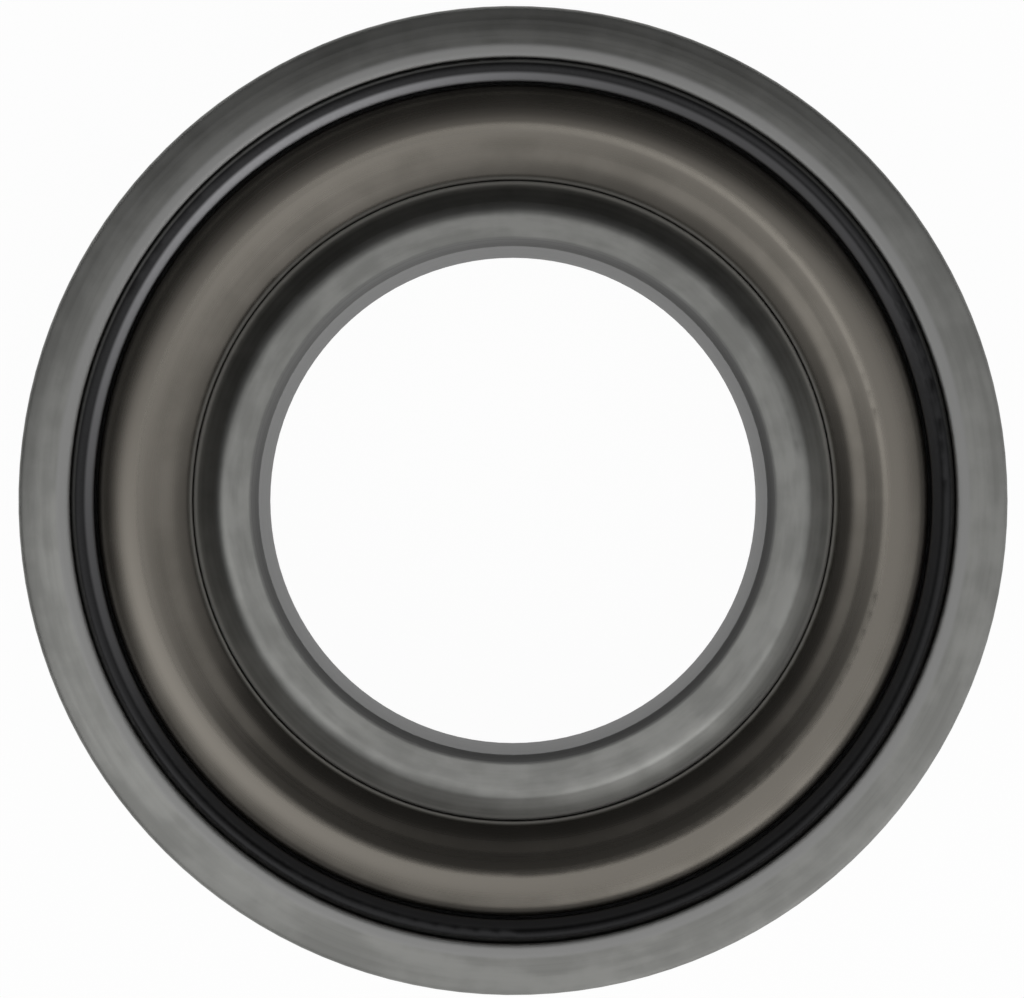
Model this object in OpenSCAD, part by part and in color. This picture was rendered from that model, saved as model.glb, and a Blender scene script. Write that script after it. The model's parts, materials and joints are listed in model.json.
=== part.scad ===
// Clutch release bearing: a sealed angular contact ball bearing whose outer ring turns.
// The axis is +Z, the contact face looks up, and the back of the inner ring lies at z = 0.
// Profiles are drawn as [radius, height] and turned about the axis.

/* [Rings] */
// Diameter of the bore that sits on the guide sleeve
bore_d = 35; // [34:0.5:36]
// Outside diameter of the outer ring
outer_d = 68; // [67:0.5:70]
// Axial width of the outer ring
outer_w = 20; // [18:0.5:22]
// How far the inner ring stands out behind the outer ring
rear_step = 2; // [1:0.5:3]
// How far the inner ring's front face lies below the contact face
face_recess = 0.6; // [0.4:0.1:1.2]
// Radial width of the bevel on the inner ring's front outer edge
bevel_w = 1.9; // [1.3:0.1:2.2]
// Angle of that bevel below the front face
bevel_slope = 42; // [30:1:45]
// Rounding between the front face and the bevel
nose_r = 1.3; // [1:0.1:2]
// Chamfer at the front of the bore
bore_front_chamfer = 0.5; // [0.2:0.1:1]
// Chamfer at the back of the bore
bore_rear_chamfer = 0.8; // [0.2:0.1:1.2]
// Chamfer on the back outer edge of the inner ring
inner_rear_chamfer = 0.6; // [0.2:0.1:1]
// Chamfer on the back outer edge of the outer ring
outer_rear_chamfer = 0.8; // [0.2:0.1:1.2]

/* [Contact face] */
// Radial width of the rim around the front recess
rim_w = 3.54; // [3:0.02:3.7]
// Chamfer on the rim's inner edge
rim_chamfer = 0.15; // [0.05:0.05:0.25]
// Width of the flat land that the spring fingers touch
land_w = 0.65; // [0.3:0.05:1]
// Radius of the crown between the flat land and the outside
crown_r = 12; // [9:0.5:15]
// Angle at which the crown leaves the flat land
crown_start = 6; // [4:1:10]
// Rounding between the crown and the outside
rim_edge_r = 0.3; // [0.2:0.05:0.6]

/* [Balls and raceways] */
// Diameter of a ball
ball_d = 7.938; // [7.5:0.001:8.3]
// Number of balls
ball_count = 12; // [10:1:12]
// Angle between the line of contact and the plane of the balls
contact_angle = 35; // [25:1:40]
// Groove radius divided by ball diameter
groove_ratio = 0.525; // [0.52:0.005:0.54]
// Gap between a ball and its raceway on the line of contact
ball_gap = 0.05; // [0.03:0.01:0.1]
// Height of the ball centres above the back of the outer ring
ball_back = 7; // [6.8:0.1:8.4]
// From the pitch circle out to the outer ring's high front land
outer_land_rise = 2.45; // [2.2:0.05:2.8]
// From the pitch circle out to the outer ring's low rear land
outer_relief_rise = 3.7; // [3.5:0.05:3.75]
// From the pitch circle in to the inner ring's high rear land
inner_land_drop = 2.35; // [2.2:0.05:2.8]
// From the pitch circle in to the inner ring's low front land
inner_relief_drop = 3.4; // [3.2:0.05:3.7]

/* [Cage] */
// Thickness of the cage's sheet
cage_t = 0.7; // [0.5:0.05:0.8]
// Radial gap between the cage and the nearest lands
cage_gap = 0.45; // [0.3:0.05:0.8]
// Gap between a ball and its pocket
pocket_gap = 0.15; // [0.1:0.01:0.2]
// Diameter of a rivet's shank
rivet_d = 1.4; // [1.1:0.1:1.6]
// Diameter of a rivet's head
rivet_head_d = 2.3; // [2:0.1:2.4]
// Height of a rivet's head
rivet_head_h = 0.5; // [0.3:0.05:0.6]

/* [Front seal] */
// Depth of the recess inside the rim
seal_depth = 5; // [4.6:0.1:5.6]
// Depth of the seal case's fold below the contact face
case_recess = 0.6; // [0.4:0.1:1.2]
// Radial width of the folded seal case
case_w = 1.6; // [1.4:0.01:2.1]
// Thickness of the seal case's sheet
case_t = 0.5; // [0.4:0.05:0.55]
// Outside radius of the seal case's fold
fold_r = 0.6; // [0.6:0.05:0.8]
// Angle of the seal case's flange, which falls inwards from the fold
case_slope = 38; // [30:1:42]
// Thickness of the rubber flange under the case
lip_t = 0.9; // [0.7:0.05:1.1]
// How far the rubber flange reaches inside the case
lip_reach = 1.6; // [1.2:0.1:2]
// Width of the lip's tip
lip_tip_w = 0.4; // [0.3:0.05:0.6]
// From the flinger's hub bend out to the lip's tip
lip_tip_offset = 1.4; // [1:0.1:1.7]
// Gap between the lip's tip and the flinger
lip_gap = 0.3; // [0.2:0.05:0.4]

/* [Flinger] */
// Thickness of the flinger's sheet
flinger_t = 0.6; // [0.5:0.05:0.7]
// Radial gap between the flinger's edge and the seal case
labyrinth_gap = 0.25; // [0.2:0.05:0.5]
// Depth of the flinger's crest below the contact face
crest_recess = 0.6; // [0.4:0.1:1.2]
// From the flinger's edge in to its crest
flank_w = 2.7; // [2:0.1:3]
// Outside radius of the shoulder, which falls outwards from the crest
shoulder_r = 4.2; // [2.8:0.1:5]
// Outside radius of the bend from the crest to the web
crest_bend_r = 1.4; // [1:0.1:2]
// Angle of the web, which rises outwards to the crest
web_slope = 23; // [20:1:27]
// From the hub out to the start of the shallow step in the web
step_start = 1.35; // [1.2:0.05:1.5]
// Radial width of that step
step_w = 0.9; // [0.7:0.05:1.1]
// Angle of that step
step_slope = 17; // [12:1:20]
// Rounding between that step and the web next to the hub
step_bend_r = 3; // [2:0.5:4]
// Angle of the web between the step and the hub
root_slope = 27; // [24:1:32]
// Outside radius of the bend from the web to the hub
hub_bend_r = 0.9; // [0.8:0.05:1.2]
// Length of the straight hub below its bend
hub_len = 2; // [1.5:0.1:2.2]
// Depth of the hub's seat below the inner ring's low front land
seat_step = 0.3; // [0.2:0.05:0.5]

/* [Rear seal] */
// Radial width of the outer ring around the rear recess
rear_rim_w = 3.1; // [2.9:0.05:3.3]
// Depth of the rear recess
rear_seal_depth = 2.6; // [2.4:0.05:2.7]
// Depth of the rear seal below the back of the outer ring
rear_seal_recess = 0.4; // [0.2:0.05:0.6]
// Radial width of the rear seal's seat
rear_seat_w = 1.4; // [1.2:0.05:1.8]
// Thickness of the rear seal's web
rear_web_t = 0.9; // [0.7:0.05:1.1]
// Radial length of the rear seal's lip
rear_lip_w = 1.6; // [1.4:0.05:1.8]
// Axial drop of the rear seal's lip below its web
rear_lip_drop = 0.4; // [0.2:0.05:0.5]
// Width of the rear lip's running edge
rear_lip_edge = 0.4; // [0.3:0.05:0.6]
// Gap between the rear lip and the inner ring
rear_lip_gap = 0.2; // [0.15:0.05:0.35]

/* [Hidden] */
$fn = 96;
STEEL = [0.52, 0.52, 0.52];
WARM_STEEL = [0.45, 0.43, 0.40];
DARK_STEEL = [0.22, 0.22, 0.23];
RUBBER = [0.08, 0.08, 0.08];
CAGE_STEEL = [0.60, 0.59, 0.56];
BALL_STEEL = [0.75, 0.75, 0.77];
// Length by which a cutting shape passes the surface that it cuts
cut_over = 1;
// Depth by which a straight stretch dips into the bend that it meets
tuck = 0.002;

function dir(a) = [cos(a), sin(a)];
function ball_name(i) = str("ball_", i < 10 ? "0" : "", i);
// Height of a line through a point, at a given radius. It rises outwards by the angle.
function line_z(point, angle, r) = point.y + (r - point.x) * tan(angle);
// Point under a corner of two slopes, at the same depth square to both
function under(corner, slope_in, slope_out, depth) =
    corner - depth / cos((slope_in - slope_out) / 2) * dir(90 + (slope_in + slope_out) / 2);

// Heights
outer_z = rear_step;
face_z = outer_z + outer_w;
inner_w = face_z - face_recess;
ball_z = outer_z + ball_back;

// Ball row
ball_r = ball_d / 2;
pitch_r = (bore_d + outer_d) / 4;
ball_step = 360 / ball_count;
groove_r = groove_ratio * ball_d;
groove_shift = (groove_r - ball_r - ball_gap) * dir(contact_angle);
ball_at = [pitch_r, ball_z];

// Outer ring
outer_r = outer_d / 2;
recess_r = outer_r - rim_w;
rear_recess_r = outer_r - rear_rim_w;
outer_land_r = pitch_r + outer_land_rise;
outer_relief_r = pitch_r + outer_relief_rise;
seat_z = face_z - seal_depth;
rear_seat_z = outer_z + rear_seal_depth;
land_end = [recess_r + rim_chamfer + land_w, face_z];
crown_c = land_end - crown_r * dir(90 - crown_start);
edge_c_r = outer_r - rim_edge_r;
edge_c = [edge_c_r, crown_c.y + sqrt(pow(crown_r - rim_edge_r, 2) - pow(edge_c_r - crown_c.x, 2))];
edge_angle = atan2(edge_c.y - crown_c.y, edge_c.x - crown_c.x);

// Inner ring
bore_r = bore_d / 2;
inner_land_r = pitch_r - inner_land_drop;
inner_relief_r = pitch_r - inner_relief_drop;
hub_r = inner_relief_r - seat_step;
bevel_r = hub_r - bevel_w;
bevel_up = dir(90 - bevel_slope);
nose_c = [bevel_r - nose_r * tan(bevel_slope / 2), inner_w - nose_r];

// Seal case
case_in_r = recess_r - case_w;
fold_c = [recess_r - fold_r, face_z - case_recess - fold_r];
flange_up = dir(90 + case_slope);
flange_out = fold_c + fold_r * flange_up;
lip_top_z = seat_z + lip_t;

// Flinger: the straight stretches are tangent to the bends of the crest and the hub
edge_r = case_in_r - labyrinth_gap;
crest_r = edge_r - flank_w;
crest_z = face_z - crest_recess;
shoulder_c = [crest_r, crest_z - shoulder_r];
crest_c = [crest_r, crest_z - crest_bend_r];
web_up = dir(90 + web_slope);
web_out = crest_c + crest_bend_r * web_up;
step_in_r = hub_r + step_start;
step_out_r = step_in_r + step_w;
step_out = [step_out_r, line_z(web_out, web_slope, step_out_r)];
step_in = [step_in_r, line_z(step_out, step_slope, step_in_r)];
step_c = under(step_in, root_slope, step_slope, step_bend_r - tuck);
root_up = dir(90 + root_slope);
hub_c_r = hub_r + hub_bend_r;
hub_c = [hub_c_r, (step_in * root_up - hub_bend_r - hub_c_r * root_up.x) / root_up.y];
root_in = hub_c + hub_bend_r * root_up;
hub_z = hub_c.y - hub_len;

// Lip of the front seal
lip_root_r = case_in_r - lip_reach;
lip_tip_r = hub_c_r + lip_tip_offset;
web_under_z = line_z(web_out, web_slope, lip_tip_r) - flinger_t / cos(web_slope);
lip_tip_z = web_under_z - lip_gap;

// Cage
cage_out_r = outer_land_r - cage_gap;
cage_in_r = inner_land_r + cage_gap;
pocket_r = ball_r + pocket_gap;
bulge_r = pocket_r + cage_t;
rivet_dome_r = (pow(rivet_head_d / 2, 2) + pow(rivet_head_h, 2)) / (2 * rivet_head_h);

// Rear seal
rear_seal_z = outer_z + rear_seal_recess;
rear_web_z = rear_seal_z + rear_lip_drop;
rear_lip_in_r = inner_land_r + rear_lip_gap;
rear_lip_root_r = rear_lip_in_r + rear_lip_w;
rear_web_out_r = rear_recess_r - rear_seat_w;

// Sector of a profile around a point, between two angles
module sector(centre, reach, from, to) {
    polygon([
        centre,
        centre + reach * dir(from),
        centre + reach * dir((from + to) / 2),
        centre + reach * dir(to)
    ]);
}

// What comes off a sharp corner when it is rounded
module corner_waste(centre, radius, from, to) {
    difference() {
        sector(centre, 3 * radius, from, to);
        translate(centre) circle(radius);
    }
}

// Rectangle of a profile between two corners
module block(low, high) {
    translate(low) square(high - low);
}

module tube(out_r, in_r, height) {
    difference() {
        cylinder(r = out_r, h = height);
        translate([0, 0, -cut_over]) cylinder(r = in_r, h = height + 2 * cut_over);
    }
}

module at_balls(offset_steps = 0) {
    for (i = [0:ball_count - 1])
        rotate((i + offset_steps) * ball_step) translate([pitch_r, 0, 0]) children();
}

module inner_ring() {
    color(STEEL) rotate_extrude() difference() {
        polygon([
            [bore_r, bore_rear_chamfer],
            [bore_r + bore_rear_chamfer, 0],
            [inner_land_r - inner_rear_chamfer, 0],
            [inner_land_r, inner_rear_chamfer],
            [inner_land_r, ball_z],
            [inner_relief_r, ball_z],
            [inner_relief_r, hub_z],
            [hub_r, hub_z],
            [hub_r, line_z([bevel_r, inner_w] - tuck * bevel_up, -bevel_slope, hub_r)],
            [bevel_r, inner_w] - tuck * bevel_up,
            [nose_c.x, inner_w],
            [bore_r + bore_front_chamfer, inner_w],
            [bore_r, inner_w - bore_front_chamfer]
        ]);
        translate(ball_at + groove_shift) circle(groove_r);
        corner_waste(nose_c, nose_r, 90 - bevel_slope, 90);
    }
}

module outer_ring() {
    color(STEEL) rotate_extrude() difference() {
        polygon([
            [outer_r - outer_rear_chamfer, outer_z],
            [outer_r, outer_z + outer_rear_chamfer],
            [outer_r, face_z],
            [recess_r + rim_chamfer, face_z],
            [recess_r, face_z - rim_chamfer],
            [recess_r, seat_z],
            [outer_land_r, seat_z],
            [outer_land_r, ball_z],
            [outer_relief_r, ball_z],
            [outer_relief_r, rear_seat_z],
            [rear_recess_r, rear_seat_z],
            [rear_recess_r, outer_z]
        ]);
        translate(ball_at - groove_shift) circle(groove_r);
        corner_waste(crown_c, crown_r, edge_angle, 90 - crown_start);
        corner_waste(edge_c, rim_edge_r, 0, edge_angle);
    }
}

module front_flinger() {
    sheet = flinger_t + tuck;
    color(WARM_STEEL) rotate_extrude() difference() {
        // Sharp outline of the top, filled down to the end of the hub
        polygon([
            [hub_r, hub_z],
            [hub_r, root_in.y],
            root_in - tuck * root_up,
            step_in,
            step_out,
            web_out - tuck * web_up,
            [crest_r - crest_bend_r * tan(web_slope / 2), crest_z],
            [edge_r, crest_z],
            [edge_r, hub_z]
        ]);
        corner_waste(hub_c, hub_bend_r, 90 + root_slope, 180);
        corner_waste(step_c, step_bend_r, 90 + step_slope, 90 + root_slope);
        corner_waste(crest_c, crest_bend_r, 90, 90 + web_slope);
        corner_waste(shoulder_c, shoulder_r, 0, 90);
        // Hollow under the sheet
        translate(hub_c) circle(hub_bend_r - flinger_t);
        translate(crest_c) circle(crest_bend_r - flinger_t);
        intersection() {
            translate(shoulder_c) circle(shoulder_r - flinger_t);
            block([crest_r, hub_z], [edge_r + cut_over, crest_z]);
        }
        polygon([
            [hub_r + flinger_t, hub_z - cut_over],
            [hub_r + flinger_t, hub_c.y],
            hub_c,
            root_in - sheet * root_up,
            under(step_in, root_slope, step_slope, flinger_t),
            under(step_out, step_slope, web_slope, flinger_t),
            web_out - sheet * web_up,
            crest_c,
            shoulder_c,
            [edge_r + cut_over, shoulder_c.y],
            [edge_r + cut_over, hub_z - cut_over]
        ]);
    }
}

module front_seal_case() {
    flange_top = flange_out - tuck * flange_up;
    flange_under = flange_out - (case_t + tuck) * flange_up;
    color(DARK_STEEL) rotate_extrude() difference() {
        // Sharp outline of the top, filled down to the rubber
        polygon([
            [case_in_r, lip_top_z],
            [recess_r, lip_top_z],
            [recess_r, line_z(flange_top, case_slope, recess_r)],
            [case_in_r, line_z(flange_top, case_slope, case_in_r)]
        ]);
        corner_waste(fold_c, fold_r, 0, 90 + case_slope);
        // Hollow under the sheet
        translate(fold_c) circle(fold_r - case_t);
        polygon([
            [case_in_r - cut_over, lip_top_z - cut_over],
            [recess_r - case_t, lip_top_z - cut_over],
            [recess_r - case_t, fold_c.y],
            fold_c,
            flange_under,
            [case_in_r - cut_over, line_z(flange_under, case_slope, case_in_r - cut_over)]
        ]);
    }
}

module front_seal_lip() {
    color(RUBBER) rotate_extrude() polygon([
        [lip_root_r, seat_z],
        [recess_r, seat_z],
        [recess_r, lip_top_z],
        [lip_root_r + lip_t, lip_top_z],
        [lip_tip_r + lip_tip_w, lip_tip_z],
        [lip_tip_r, lip_tip_z],
        [lip_tip_r, lip_tip_z - lip_tip_w]
    ]);
}

module rear_seal() {
    color(RUBBER) rotate_extrude() {
        block([rear_web_out_r, rear_seal_z], [rear_recess_r, rear_seat_z]);
        block([rear_lip_root_r, rear_web_z], [rear_web_out_r, rear_web_z + rear_web_t]);
        polygon([
            [rear_lip_root_r, rear_web_z],
            [rear_lip_root_r, rear_web_z + rear_web_t],
            [rear_lip_in_r, rear_seal_z + rear_lip_edge],
            [rear_lip_in_r, rear_seal_z]
        ]);
    }
}

// One half of the ribbon cage, with its joint face at the bottom
module cage_half() {
    difference() {
        intersection() {
            tube(cage_out_r, cage_in_r, bulge_r + cut_over);
            union() {
                tube(cage_out_r + cut_over, cage_in_r - cut_over, cage_t);
                at_balls() sphere(bulge_r);
            }
        }
        at_balls() sphere(pocket_r);
        at_balls(0.5) translate([0, 0, -cut_over]) cylinder(d = rivet_d, h = cage_t + 2 * cut_over);
    }
}

module cage_front_half() {
    color(CAGE_STEEL) translate([0, 0, ball_z]) cage_half();
}

module cage_rear_half() {
    color(CAGE_STEEL) translate([0, 0, ball_z]) mirror([0, 0, 1]) cage_half();
}

// Domed head of a rivet, standing on its flat side
module rivet_head() {
    rotate_extrude() intersection() {
        translate([0, rivet_head_h - rivet_dome_r]) circle(rivet_dome_r);
        block([0, 0], [rivet_head_d, rivet_head_h + cut_over]);
    }
}

module cage_rivets() {
    color(BALL_STEEL) translate([0, 0, ball_z]) at_balls(0.5) {
        translate([0, 0, -cage_t]) cylinder(d = rivet_d, h = 2 * cage_t);
        translate([0, 0, cage_t]) rivet_head();
        translate([0, 0, -cage_t]) mirror([0, 0, 1]) rivet_head();
    }
}

module ball(i) {
    color(BALL_STEEL) rotate((i - 1) * ball_step) translate([pitch_r, 0, ball_z]) sphere(ball_r);
}

inner_ring();
outer_ring();
front_flinger();
front_seal_case();
front_seal_lip();
rear_seal();
cage_front_half();
cage_rear_half();
cage_rivets();
for (i = [1:ball_count])
    ball(i);
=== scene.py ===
"""Looks of the clutch release bearing: finishes, floor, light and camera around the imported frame."""
import json
from math import cos, pi, radians, sin

import bpy
from mathutils import Euler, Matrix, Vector


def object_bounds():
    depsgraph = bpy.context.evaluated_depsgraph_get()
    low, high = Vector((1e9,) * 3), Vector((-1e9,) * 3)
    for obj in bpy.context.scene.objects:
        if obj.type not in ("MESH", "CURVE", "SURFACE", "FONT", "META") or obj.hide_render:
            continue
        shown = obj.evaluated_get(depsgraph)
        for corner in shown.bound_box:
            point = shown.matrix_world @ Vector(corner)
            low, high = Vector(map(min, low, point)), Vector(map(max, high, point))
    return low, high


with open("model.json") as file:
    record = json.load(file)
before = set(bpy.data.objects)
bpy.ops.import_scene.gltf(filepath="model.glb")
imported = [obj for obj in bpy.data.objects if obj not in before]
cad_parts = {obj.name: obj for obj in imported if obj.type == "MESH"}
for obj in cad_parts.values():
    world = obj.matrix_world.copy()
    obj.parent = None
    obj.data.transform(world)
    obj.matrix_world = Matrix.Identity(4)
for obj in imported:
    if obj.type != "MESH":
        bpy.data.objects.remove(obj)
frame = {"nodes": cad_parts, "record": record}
cad_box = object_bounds()

MM = 0.001

# Picture: the camera looks straight down the axis, with +Y up in the picture
IMAGE_W = 1024
IMAGE_H = 998
# Pixel at which the bearing's axis lies, and the size of a pixel on the contact face
AXIS_PX = (513.0, 500.5)
PIXEL = 0.0686 * MM
CAMERA_DISTANCE = 410 * MM
SENSOR_W = 36.0

# Room: level straight up and at the horizon, and what is left of it in the dark half
ROOM_TOP = 0.92
ROOM_HORIZON = 0.12
DARK_SHARE = 0.16
# Middle of the dark half, as degrees from straight up and degrees round from +X, and where its edge lies
DARK_WAY = (104, 115)
DARK_EDGE = (-0.17, 0.0)
# Soft boxes: degrees from straight up, degrees round from +X, brightness at the middle and tightness
SOFT_BOXES = {
    "large_low": (85, -54, 2.0, 6.0),
    "small_high": (27, 192, 1.0, 22.0),
}

# Floor: a white disc a hair below the bearing, with a low wall round it as a backdrop
FLOOR_R = 3.0
FLOOR_DROP = 0.05 * MM
FLOOR_SIDES = 96
WALL_H = 0.32
FLOOR_WHITE = 0.97
FLOOR_PAPER = (0.85, 0.85, 0.85, 1)
WHITE = (1, 1, 1, 1)

# How far the shading rounds the edges of the solids, and the samples that it takes for that
EDGE_SOFTNESS = 0.4 * MM
EDGE_SAMPLES = 4
# Spans that hold most values of a noise, its middle values, and those of two noises added
NOISE_MOST = (0.3, 0.7)
NOISE_MIDDLE = (0.35, 0.65)
NOISE_PAIR = (0.75, 1.25)


def radii(node):
    """Smallest and largest distance of a node's points from the axis, in millimetres."""
    distances = [point.co.xy.length / MM for point in frame["nodes"][node].data.vertices]
    return min(distances), max(distances)


# Places that the finishes go by, in millimetres
MOUNTS = {mount["name"]: mount for mount in frame["record"]["mounts"]}
BORE_R = MOUNTS["sleeve_bore"]["dims"]["r_mm"]
LAND_R = MOUNTS["contact_face"]["pos_m"][0] / MM
HUB_R, FLINGER_R = radii("front_flinger")
CREST_INSET = 2.51
CREST_R = FLINGER_R - CREST_INSET
FLANGE_R, CASE_R = radii("front_seal_case")
MIDDLE_Z = cad_box[1].z / MM / 2


def add(tree, kind, inputs=None, **settings):
    """A node with its settings, and its inputs set to values or linked to sockets."""
    made = tree.nodes.new(kind)
    for name, value in settings.items():
        setattr(made, name, value)
    for name, value in (inputs or {}).items():
        join(tree, value, made.inputs[name])
    return made


def join(tree, value, socket):
    """Links a socket to a node's output, or sets it to a plain value."""
    if isinstance(value, bpy.types.NodeSocket):
        tree.links.new(value, socket)
    else:
        socket.default_value = value


def math_node(tree, operation, a, b=0.0, c=0.0):
    """An operation on up to three numbers."""
    return add(tree, "ShaderNodeMath", {0: a, 1: b, 2: c}, operation=operation).outputs[0]


def vector_node(tree, operation, inputs, output="Vector"):
    """An operation on vectors."""
    return add(tree, "ShaderNodeVectorMath", inputs, operation=operation).outputs[output]


def combine(tree, x=0.0, y=0.0, z=0.0):
    """A vector made of three numbers."""
    return add(tree, "ShaderNodeCombineXYZ", {0: x, 1: y, 2: z}).outputs[0]


def ramp(tree, value, span, result=(0.0, 1.0)):
    """A value mapped smoothly from its span to the result's span, and held at the ends."""
    inputs = {
        "Value": value,
        "From Min": span[0],
        "From Max": span[1],
        "To Min": result[0],
        "To Max": result[1],
    }
    return add(tree, "ShaderNodeMapRange", inputs, interpolation_type="SMOOTHSTEP").outputs["Result"]


def mix_colour(tree, share, a, b):
    """Colour a, with that share of colour b."""
    made = add(tree, "ShaderNodeMix", data_type="RGBA")
    sockets = {socket.identifier: socket for socket in made.inputs}
    join(tree, share, sockets["Factor_Float"])
    join(tree, a, sockets["A_Color"])
    join(tree, b, sockets["B_Color"])
    return next(socket for socket in made.outputs if socket.identifier == "Result_Color")


class Finish:
    """A material's node tree, with the piece's own coordinates in millimetres."""

    def __init__(self, name):
        self.material = bpy.data.materials.new(name)
        self.material.use_nodes = True
        self.tree = self.material.node_tree
        self.shader = self.tree.nodes["Principled BSDF"]
        place = add(self.tree, "ShaderNodeTexCoord").outputs["Object"]
        self.place = vector_node(self.tree, "SCALE", {0: place, "Scale": 1 / MM})
        split = add(self.tree, "ShaderNodeSeparateXYZ", {0: self.place})
        flat = combine(self.tree, split.outputs[0], split.outputs[1])
        self.outwards = vector_node(self.tree, "NORMALIZE", {0: flat})
        self.radius = vector_node(self.tree, "LENGTH", {0: flat}, "Value")
        self.height = split.outputs[2]

    def plus(self, a, b):
        """The sum of two numbers."""
        return math_node(self.tree, "ADD", a, b)

    def times(self, a, b):
        """The product of two numbers."""
        return math_node(self.tree, "MULTIPLY", a, b)

    def ramp(self, value, span, result=(0.0, 1.0)):
        """The ramp above, in this finish's tree."""
        return ramp(self.tree, value, span, result)

    def mix(self, share, a, b):
        """The mix of colours above, in this finish's tree."""
        return mix_colour(self.tree, share, a, b)

    def noise(self, scale, detail=3.0, vector=None, roughness=0.5):
        """Noise with features about 1 / scale millimetres wide."""
        inputs = {"Vector": vector or self.place, "Scale": scale, "Detail": detail, "Roughness": roughness}
        return add(self.tree, "ShaderNodeTexNoise", inputs).outputs["Fac"]

    def lines(self, scale, wander=0.02, detail=4.0):
        """Fine marks that run round the axis, as turning and grinding leave them."""
        drift = self.times(self.noise(scale=0.15, detail=1.0), wander)
        section = combine(self.tree, self.plus(self.radius, drift), self.height)
        return self.noise(scale, detail, section, roughness=0.65)

    def streaks(self, scale, turn_scale):
        """Noise drawn out round the axis, with streaks about 1 / scale millimetres wide."""
        around = vector_node(self.tree, "SCALE", {0: self.outwards, "Scale": turn_scale})
        across = combine(self.tree, z=self.times(self.plus(self.radius, self.height), scale))
        place = vector_node(self.tree, "ADD", {0: around, 1: across})
        return self.noise(scale=1.0, vector=place)

    def band(self, middle, flat, reach):
        """1 on a ring around the axis, falling to 0 at that reach from its middle."""
        off = math_node(self.tree, "ABSOLUTE", math_node(self.tree, "SUBTRACT", self.radius, middle))
        return self.ramp(off, (flat, reach), (1.0, 0.0))

    def set(self, name, value):
        """Sets or links one of the shader's sockets."""
        join(self.tree, value, self.shader.inputs[name])

    def bump(self, height, depth_mm, strength):
        """Fine relief on the piece, whose edges are rounded in the shading."""
        inputs = {"Radius": EDGE_SOFTNESS}
        soft = add(self.tree, "ShaderNodeBevel", inputs, samples=EDGE_SAMPLES).outputs["Normal"]
        inputs = {"Strength": strength, "Distance": depth_mm * MM, "Height": height, "Normal": soft}
        self.set("Normal", add(self.tree, "ShaderNodeBump", inputs).outputs["Normal"])


def ring_steel():
    """Ground bearing steel, dull with a lubricant film in the bore, with a painted highlight on the land
    that the fingers touch and painted light by the flinger's hub.
    """
    shaded = (0.192, 0.193, 0.184, 1)
    plain = (0.252, 0.253, 0.242, 1)
    ground = (0.29, 0.29, 0.28, 1)
    sheen = (0.25, 0.25, 0.246, 1)
    painted_light = (0.34, 0.34, 0.332, 1)
    oil_dark = (0.115, 0.115, 0.113, 1)
    oil_light = (0.18, 0.18, 0.176, 1)
    oil_metallic = 0.3
    oil_roughness = 0.2

    f = Finish("ground_steel")
    marks = f.lines(scale=3.0)
    mottle = f.plus(f.noise(scale=0.35, detail=4.0), f.streaks(scale=1.2, turn_scale=4.0))
    colour = f.mix(f.ramp(mottle, NOISE_PAIR), shaded, plain)
    colour = f.mix(f.ramp(marks, NOISE_MIDDLE, (0.0, 0.2)), colour, ground)
    front = f.ramp(f.height, (MIDDLE_Z + 1.0, MIDDLE_Z + 3.0))
    # Painted highlight: a lighter band, free of grinding marks, on the land that the fingers touch.
    land = f.times(f.band(LAND_R, flat=0.28, reach=0.6), front)
    colour = f.mix(land, colour, sheen)
    # Painted light: a lighter band on the front edge by the flinger's hub, which lifts the shade of the
    # crease there.
    hub_crease_light = f.times(f.band(HUB_R, flat=0.15, reach=0.45), front)
    colour = f.mix(hub_crease_light, colour, painted_light)
    clean = f.ramp(f.radius, (BORE_R + 0.4, BORE_R + 0.75))
    film = f.mix(f.ramp(marks, NOISE_MIDDLE), oil_dark, oil_light)
    f.set("Base Color", f.mix(clean, film, colour))
    f.set("Metallic", f.ramp(clean, (0.0, 1.0), (oil_metallic, 1.0)))
    oiled = f.plus(f.ramp(marks, NOISE_MOST, (0.34, 0.41)), oil_roughness)
    f.set("Roughness", math_node(f.tree, "MULTIPLY_ADD", clean, -oil_roughness, oiled))
    f.bump(marks, depth_mm=0.003, strength=0.4)
    return f.material


def flinger_steel():
    """Drawn sheet with a warm grey satin skin, with a painted highlight along its ridge, painted shade
    towards the hub and painted light in the crease at the hub.
    """
    shaded = (0.138, 0.128, 0.112, 1)
    plain = (0.162, 0.15, 0.132, 1)
    crest_highlight = (0.178, 0.165, 0.145, 1)
    painted_hub_shade = (0.04, 0.037, 0.033, 1)
    painted_light = (0.34, 0.33, 0.31, 1)

    f = Finish("satin_sheet")
    marks = f.lines(scale=2.0)
    colour = f.mix(f.ramp(f.noise(scale=0.3), NOISE_MOST), shaded, plain)
    # Painted highlight: the ridge of the sheet is drawn lighter.
    colour = f.mix(f.band(CREST_R, flat=0.6, reach=1.6), colour, crest_highlight)
    # Painted shade: the sheet is drawn darker in the valley towards the hub, and less dark right at the
    # crease.
    hub_shade_reach = f.ramp(f.radius, (HUB_R + 0.45, HUB_R + 1.95), (0.55, 0.0))
    shade_eased_at_crease = f.ramp(f.radius, (HUB_R - 0.05, HUB_R + 0.4), (0.2, 1.0))
    colour = f.mix(f.times(hub_shade_reach, shade_eased_at_crease), colour, painted_hub_shade)
    # Painted light: a lighter band at the hub, which lifts the shade of the crease next to the inner ring.
    f.set("Base Color", f.mix(f.band(HUB_R, flat=0.15, reach=0.4), colour, painted_light))
    f.set("Metallic", 1.0)
    f.set("Roughness", f.ramp(marks, NOISE_MOST, (0.24, 0.3)))
    f.bump(marks, depth_mm=0.003, strength=0.3)
    return f.material


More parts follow.
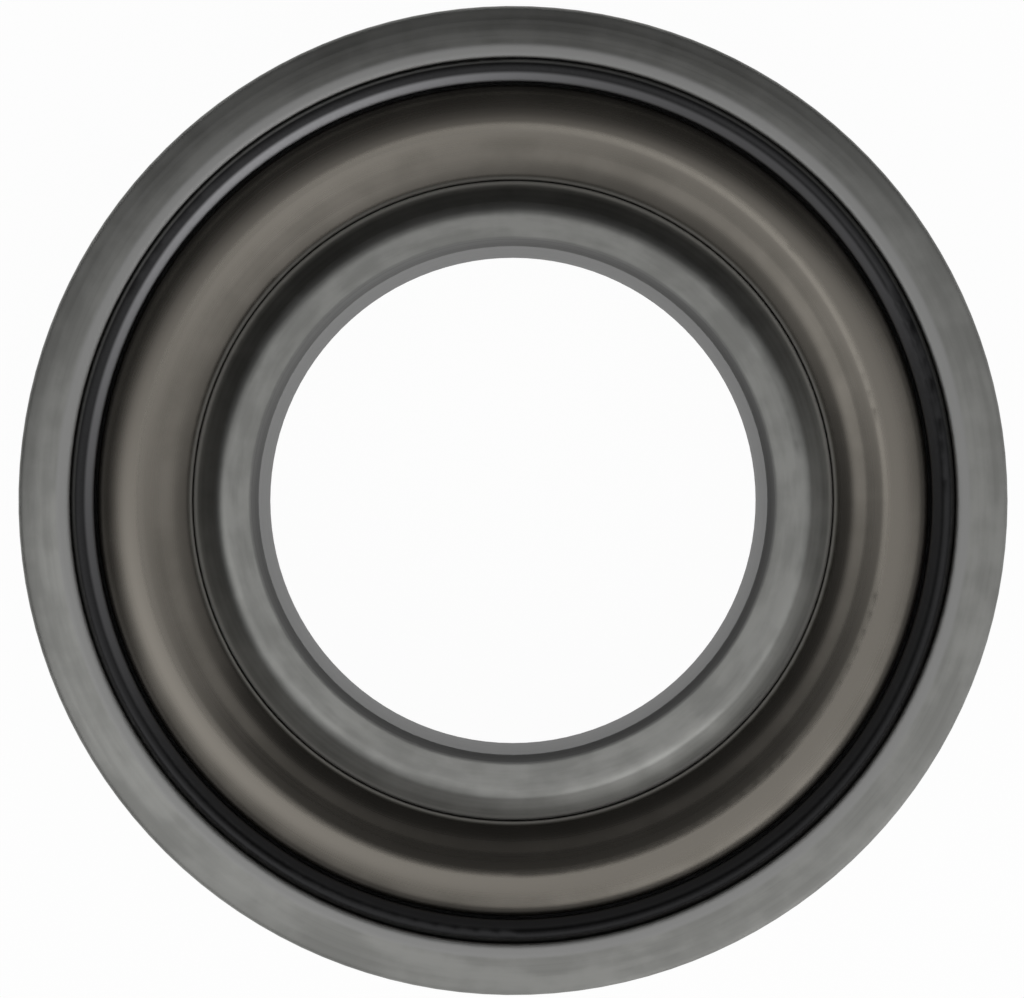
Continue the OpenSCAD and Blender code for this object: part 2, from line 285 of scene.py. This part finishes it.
def case_steel():
    """Dark phosphated sheet, with a painted highlight on its flange and painted light in the crease where
    it is pressed into the outer ring.
    """
    dark = (0.022, 0.022, 0.023, 1)
    plain = (0.034, 0.034, 0.035, 1)
    painted_light = (0.15, 0.15, 0.155, 1)
    pressed = (0.3, 0.3, 0.3, 1)

    f = Finish("phosphated_sheet")
    grain = f.noise(scale=6.0, detail=4.0)
    # Painted highlight: a lighter band along the flange.
    colour = f.mix(f.band(FLANGE_R + 0.29, flat=0.15, reach=0.42), f.mix(grain, dark, plain), painted_light)
    # Painted light: the outer edge is drawn much lighter, which lifts the shade of the crease against the
    # outer ring.
    edge = f.ramp(f.radius, (CASE_R - 0.41, CASE_R - 0.21))
    f.set("Base Color", f.mix(edge, colour, pressed))
    f.set("Metallic", 1.0)
    f.set("Roughness", f.ramp(grain, NOISE_MOST, (0.28, 0.34)))
    f.bump(grain, depth_mm=0.004, strength=0.3)
    return f.material


def rubber():
    """Black seal rubber with a fine moulded grain."""
    f = Finish("black_rubber")
    grain = f.noise(scale=5.0, detail=5.0)
    f.set("Base Color", f.mix(grain, (0.012, 0.012, 0.012, 1), (0.028, 0.028, 0.027, 1)))
    f.set("Roughness", f.ramp(grain, NOISE_MOST, (0.5, 0.7)))
    f.bump(grain, depth_mm=0.01, strength=0.5)
    return f.material


def cage_steel():
    """Pressed sheet of the cage and its rivets."""
    f = Finish("pressed_sheet")
    grain = f.noise(scale=2.5, detail=4.0)
    f.set("Base Color", f.mix(grain, (0.34, 0.33, 0.31, 1), (0.46, 0.45, 0.43, 1)))
    f.set("Metallic", 1.0)
    f.set("Roughness", f.ramp(grain, NOISE_MOST, (0.3, 0.42)))
    f.bump(grain, depth_mm=0.004, strength=0.4)
    return f.material


def ball_steel():
    """Polished balls with a thin, uneven film of lubricant."""
    f = Finish("polished_steel")
    film = f.noise(scale=0.5, detail=2.0)
    f.set("Base Color", f.mix(film, (0.52, 0.52, 0.53, 1), (0.6, 0.6, 0.61, 1)))
    f.set("Metallic", 1.0)
    f.set("Roughness", f.ramp(film, NOISE_MOST, (0.06, 0.1)))
    return f.material


def dress_nodes():
    """Each CAD node takes the finish of its slot in the record."""
    finishes = {
        "ring_steel": ring_steel(),
        "flinger_steel": flinger_steel(),
        "case_steel": case_steel(),
        "rubber": rubber(),
        "cage_steel": cage_steel(),
        "ball_steel": ball_steel(),
    }
    for part in frame["record"]["subparts"]:
        piece = frame["nodes"][part["node"]]
        piece.data.materials.clear()
        piece.data.materials.append(finishes[part["material_slot"]])


def floor_mesh():
    """A disc with a low wall round it, facing up and inwards."""
    turns = [2 * pi * i / FLOOR_SIDES for i in range(FLOOR_SIDES)]
    edge = [(FLOOR_R * cos(turn), FLOOR_R * sin(turn)) for turn in turns]
    points = [(x, y, -FLOOR_DROP) for x, y in edge] + [(x, y, WALL_H) for x, y in edge]
    faces = [tuple(range(FLOOR_SIDES))]
    for i in range(FLOOR_SIDES):
        after = (i + 1) % FLOOR_SIDES
        faces.append((after, i, i + FLOOR_SIDES, after + FLOOR_SIDES))
    mesh = bpy.data.meshes.new("floor")
    mesh.from_pydata(points, [], faces)
    return mesh


def floor_white():
    """White that still takes the bearing's shadow. From below it is clear, but it lets no light up."""
    material = bpy.data.materials.new("white_floor")
    material.use_nodes = True
    material.use_transparent_shadow = False
    tree = material.node_tree
    tree.nodes.clear()
    path = add(tree, "ShaderNodeLightPath")
    seen = math_node(tree, "MAXIMUM", path.outputs["Is Camera Ray"], path.outputs["Is Glossy Ray"])
    seen = math_node(tree, "MAXIMUM", seen, path.outputs["Is Transmission Ray"])
    share = math_node(tree, "MULTIPLY", seen, FLOOR_WHITE)
    paper = add(tree, "ShaderNodeBsdfDiffuse", {"Color": FLOOR_PAPER}).outputs[0]
    white = add(tree, "ShaderNodeEmission", {"Color": WHITE, "Strength": 1.0}).outputs[0]
    mixed = add(tree, "ShaderNodeMixShader", {0: share, 1: paper, 2: white}).outputs[0]
    below = add(tree, "ShaderNodeNewGeometry").outputs["Backfacing"]
    clear = add(tree, "ShaderNodeBsdfTransparent").outputs[0]
    one_sided = add(tree, "ShaderNodeMixShader", {0: below, 1: mixed, 2: clear}).outputs[0]
    add(tree, "ShaderNodeOutputMaterial", {"Surface": one_sided})
    return material


def make_floor():
    """Floor and wall, which are no part of the bearing."""
    floor = bpy.data.objects.new("floor", floor_mesh())
    bpy.context.scene.collection.objects.link(floor)
    floor.data.materials.append(floor_white())


def towards(tilt, turn):
    """Unit vector that many degrees from straight up, and round from +X."""
    way = Vector((0, 0, 1))
    way.rotate(Euler((0, radians(tilt), radians(turn))))
    return way


def make_light():
    """A room that is brightest overhead and dark on one side, with soft boxes."""
    world = bpy.data.worlds.new("studio")
    bpy.context.scene.world = world
    world.use_nodes = True
    tree = world.node_tree
    tree.nodes.clear()
    way = add(tree, "ShaderNodeTexCoord").outputs["Generated"]

    def facing(tilt, turn):
        """1 where the room is seen in that direction, and less away from it."""
        return vector_node(tree, "DOT_PRODUCT", {0: way, 1: towards(tilt, turn)}, "Value")

    room = math_node(tree, "MULTIPLY_ADD", facing(0, 0), ROOM_TOP - ROOM_HORIZON, ROOM_HORIZON)
    lit = ramp(tree, facing(*DARK_WAY), DARK_EDGE, (1.0, DARK_SHARE))
    level = math_node(tree, "MULTIPLY", room, lit)
    for tilt, turn, brightness, tightness in SOFT_BOXES.values():
        falloff = math_node(tree, "MULTIPLY_ADD", facing(tilt, turn), tightness, -tightness)
        level = math_node(tree, "MULTIPLY_ADD", math_node(tree, "EXPONENT", falloff), brightness, level)
    sky = add(tree, "ShaderNodeBackground", {"Color": WHITE, "Strength": level}).outputs[0]
    add(tree, "ShaderNodeOutputWorld", {"Surface": sky})


def make_camera():
    """A camera straight above the contact face, placed so that the axis lies at its pixel."""
    data = bpy.data.cameras.new("camera")
    data.sensor_width = SENSOR_W
    data.lens = SENSOR_W * CAMERA_DISTANCE / (IMAGE_W * PIXEL)
    camera = bpy.data.objects.new("camera", data)
    bpy.context.scene.collection.objects.link(camera)
    aside = (IMAGE_W / 2 - AXIS_PX[0]) * PIXEL
    ahead = (AXIS_PX[1] - IMAGE_H / 2) * PIXEL
    face_z = cad_box[1].z
    camera.location = Vector((aside, ahead, face_z + CAMERA_DISTANCE))
    bpy.context.scene.camera = camera


dress_nodes()
make_floor()
make_light()
make_camera()
bpy.context.scene.view_settings.view_transform = "Standard"
